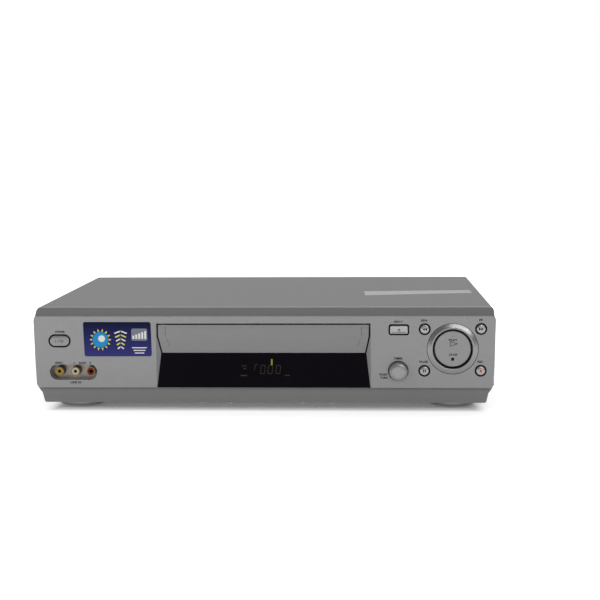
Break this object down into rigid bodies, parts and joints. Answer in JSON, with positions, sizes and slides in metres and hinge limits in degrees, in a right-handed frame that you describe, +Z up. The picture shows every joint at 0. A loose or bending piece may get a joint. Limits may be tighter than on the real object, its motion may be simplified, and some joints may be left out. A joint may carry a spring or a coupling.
{
  "type": "video cassette recorder",
  "caption": "Full-size front-loading video cassette recorder with hinged cassette door, rocker play key, timer dial, jack recess and a working tape deck inside.",
  "frame": {"origin": "middle of the bounding box in plan, on the surface the feet stand on", "axes": "+Z up, -Y towards the front panel, +X to the right as seen from the front"},
  "size_m": [0.4324, 0.306, 0.0981],
  "materials": {
    "silver_paint": "satin silver",
    "silver_plastic": "satin silver",
    "bright_key": "metallised",
    "ring_metal": "polished",
    "zinc_steel": "zinc plated",
    "bright_steel": "bright",
    "smoked_window": "glossy black",
    "display_glass": "clear",
    "foot_silver": "metallised",
    "black_plastic": "matt",
    "foot_felt": "matt",
    "recess_metal": "metallised",
    "nickel": "bright",
    "yellow": "glossy",
    "white": "glossy",
    "red": "glossy",
    "board_green": "lacquered",
    "gear_white": "matt",
    "motor_steel": "satin",
    "drum_metal": "turned"
  },
  "bodies": {
    "chassis": {"aerial_connectors": "nickel", "board_parts": "black_plastic", "bottom_chassis": "zinc_steel", "capstan_motor": "zinc_steel", "circuit_boards": "board_green", "cover_screws": "bright_steel", "deck_plate": "zinc_steel", "display_tube": "display_glass", "display_window": "smoked_window", "door_spring": "bright_steel", "foot_pads": "foot_felt", "front_boards": "board_green", "front_feet": "foot_silver", "front_loading_motor": "motor_steel", "front_panel": "silver_plastic", "jack_cup": "recess_metal", "key_switches": "black_plastic", "loader_side_plates": "zinc_steel", "loading_motor": "motor_steel", "lower_drum": "drum_metal", "mains_inlet": "black_plastic", "phono_red": "red", "phono_shells": "nickel", "phono_white": "white", "phono_yellow": "yellow", "power_supply_parts": "black_plastic", "rear_feet": "black_plastic", "rear_panel": "zinc_steel", "reel_belt": "foot_felt", "ring_trim": "ring_metal", "tape_heads": "motor_steel", "top_cover": "silver_paint", "tuner_box": "zinc_steel"},
    "door": {"cassette_door": "silver_plastic"},
    "holder": {"cassette_holder": "zinc_steel", "holder_rack": "bright_steel"},
    "loader_pinion": {"loader_pinion": "gear_white"},
    "power_key": {"power_button": "silver_plastic"},
    "eject_key": {"eject_button": "bright_key"},
    "rewind_key": {"rewind_button": "bright_key"},
    "fast_forward_key": {"fast_forward_button": "bright_key"},
    "pause_key": {"pause_button": "bright_key"},
    "record_key": {"record_button": "bright_key"},
    "play_stop_rocker": {"play_stop_key": "silver_plastic"},
    "dial_stem": {"timer_dial_stem": "black_plastic"},
    "dial_knob": {"timer_dial_knob": "silver_plastic"},
    "drum": {"upper_drum": "drum_metal"},
    "capstan": {"capstan_rotor": "bright_steel"},
    "clutch": {"clutch_pulley": "black_plastic"},
    "supply_reel": {"supply_reel": "gear_white"},
    "takeup_reel": {"takeup_reel": "gear_white"},
    "idler_arm": {"idler_arm": "zinc_steel"},
    "idler_gear": {"idler_gear": "gear_white"},
    "pinch_arm": {"pinch_arm": "zinc_steel"},
    "pinch_roller": {"pinch_roller": "foot_felt"},
    "supply_guide": {"supply_guide": "gear_white"},
    "takeup_guide": {"takeup_guide": "gear_white"},
    "tension_arm": {"tension_arm": "zinc_steel"},
    "cam_gear": {"cam_gear": "gear_white"},
    "worm": {"loading_worm": "gear_white"}
  },
  "joints": [
    {"name": "door_hinge", "type": "hinge", "parent": "chassis", "child": "door", "pos_m": [0, -0.141, 0.0871], "axis": [-1, 0, 0], "range_deg": [-90, 0], "stiffness_Nm_per_rad": 0.002, "springref_deg": 20.05},
    {"name": "holder_slide", "type": "slide", "parent": "chassis", "child": "holder", "axis": [0, 0.9514, -0.3078], "range_m": [0, 0.07147]},
    {"name": "loader_pinion_spin", "type": "hinge", "parent": "chassis", "child": "loader_pinion", "pos_m": [0.103, -0.03708, 0.03909], "axis": [-1, 0, 0], "range_deg": [0, 410]},
    {"name": "power_press", "type": "slide", "parent": "chassis", "child": "power_key", "axis": [0, 1, 0], "range_m": [0, 0.001], "stiffness_N_per_m": 500},
    {"name": "eject_press", "type": "slide", "parent": "chassis", "child": "eject_key", "axis": [0, 1, 0], "range_m": [0, 0.001], "stiffness_N_per_m": 500},
    {"name": "rewind_press", "type": "slide", "parent": "chassis", "child": "rewind_key", "axis": [0, 1, 0], "range_m": [0, 0.001], "stiffness_N_per_m": 500},
    {"name": "fast_forward_press", "type": "slide", "parent": "chassis", "child": "fast_forward_key", "axis": [0, 1, 0], "range_m": [0, 0.001], "stiffness_N_per_m": 500},
    {"name": "pause_press", "type": "slide", "parent": "chassis", "child": "pause_key", "axis": [0, 1, 0], "range_m": [0, 0.001], "stiffness_N_per_m": 500},
    {"name": "record_press", "type": "slide", "parent": "chassis", "child": "record_key", "axis": [0, 1, 0], "range_m": [0, 0.001], "stiffness_N_per_m": 500},
    {"name": "play_stop_rock", "type": "hinge", "parent": "chassis", "child": "play_stop_rocker", "pos_m": [0.1764, -0.139, 0.0596], "axis": [1, 0, 0], "range_deg": [-2.5, 2.5], "stiffness_Nm_per_rad": 0.6},
    {"name": "dial_press", "type": "slide", "parent": "chassis", "child": "dial_stem", "axis": [0, 1, 0], "range_m": [0, 0.0007], "stiffness_N_per_m": 500},
    {"name": "dial_turn", "type": "hinge", "parent": "dial_stem", "child": "dial_knob", "pos_m": [0.126, -0.146, 0.0388], "axis": [0, 1, 0], "continuous": true},
    {"name": "drum_spin", "type": "hinge", "parent": "chassis", "child": "drum", "pos_m": [0, 0.1, 0.0456], "axis": [0, 0.1045, 0.9945], "continuous": true},
    {"name": "capstan_spin", "type": "hinge", "parent": "chassis", "child": "capstan", "pos_m": [0.06, 0.064, 0.0246], "axis": [0, 0, 1], "continuous": true},
    {"name": "clutch_spin", "type": "hinge", "parent": "chassis", "child": "clutch", "pos_m": [0, 0.019, 0.0226], "axis": [0, 0, 1], "continuous": true},
    {"name": "supply_reel_spin", "type": "hinge", "parent": "chassis", "child": "supply_reel", "pos_m": [-0.04625, 0.004, 0.0326], "axis": [0, 0, 1], "continuous": true},
    {"name": "takeup_reel_spin", "type": "hinge", "parent": "chassis", "child": "takeup_reel", "pos_m": [0.04625, 0.004, 0.0326], "axis": [0, 0, 1], "continuous": true},
    {"name": "idler_swing", "type": "hinge", "parent": "chassis", "child": "idler_arm", "pos_m": [0, 0.019, 0.0336], "axis": [0, 0, 1], "range_deg": [-20, 20]},
    {"name": "idler_gear_spin", "type": "hinge", "parent": "idler_arm", "child": "idler_gear", "pos_m": [0, 0.001, 0.0306], "axis": [0, 0, 1], "continuous": true},
    {"name": "cam_spin", "type": "hinge", "parent": "chassis", "child": "cam_gear", "pos_m": [-0.076, 0.109, 0.0326], "axis": [0, 0, 1], "range_deg": [0, 180]},
    {"name": "worm_spin", "type": "hinge", "parent": "chassis", "child": "worm", "pos_m": [-0.079, 0.12872, 0.0356], "axis": [1, 0, 0], "range_deg": [0, 7200]},
    {"name": "pinch_swing", "type": "hinge", "parent": "chassis", "child": "pinch_arm", "pos_m": [0.084, 0.076, 0.0306], "axis": [0, 0, 1], "range_deg": [0, 35]},
    {"name": "pinch_roller_spin", "type": "hinge", "parent": "pinch_arm", "child": "pinch_roller", "pos_m": [0.0651, 0.0813, 0.0406], "axis": [0, 0, 1], "continuous": true},
    {"name": "supply_guide_swing", "type": "hinge", "parent": "chassis", "child": "supply_guide", "pos_m": [0, 0.1, 0.0306], "axis": [0, 0, -1], "range_deg": [0, 59]},
    {"name": "takeup_guide_swing", "type": "hinge", "parent": "chassis", "child": "takeup_guide", "pos_m": [0, 0.1, 0.0306], "axis": [0, 0, 1], "range_deg": [0, 59]},
    {"name": "tension_swing", "type": "hinge", "parent": "chassis", "child": "tension_arm", "pos_m": [-0.084, 0.08, 0.0306], "axis": [0, 0, 1], "range_deg": [-8, 8], "stiffness_Nm_per_rad": 0.02}
  ],
  "couplings": [
    {"joint": "loader_pinion_spin", "follows": "holder_slide", "rad_per_m": 100},
    {"joint": "clutch_spin", "follows": "capstan_spin", "ratio": 0.69231},
    {"joint": "worm_spin", "follows": "cam_spin", "ratio": 40},
    {"joint": "pinch_swing", "follows": "cam_spin", "ratio": 0.19444},
    {"joint": "supply_guide_swing", "follows": "cam_spin", "ratio": 0.32778},
    {"joint": "takeup_guide_swing", "follows": "cam_spin", "ratio": 0.32778}
  ]
}
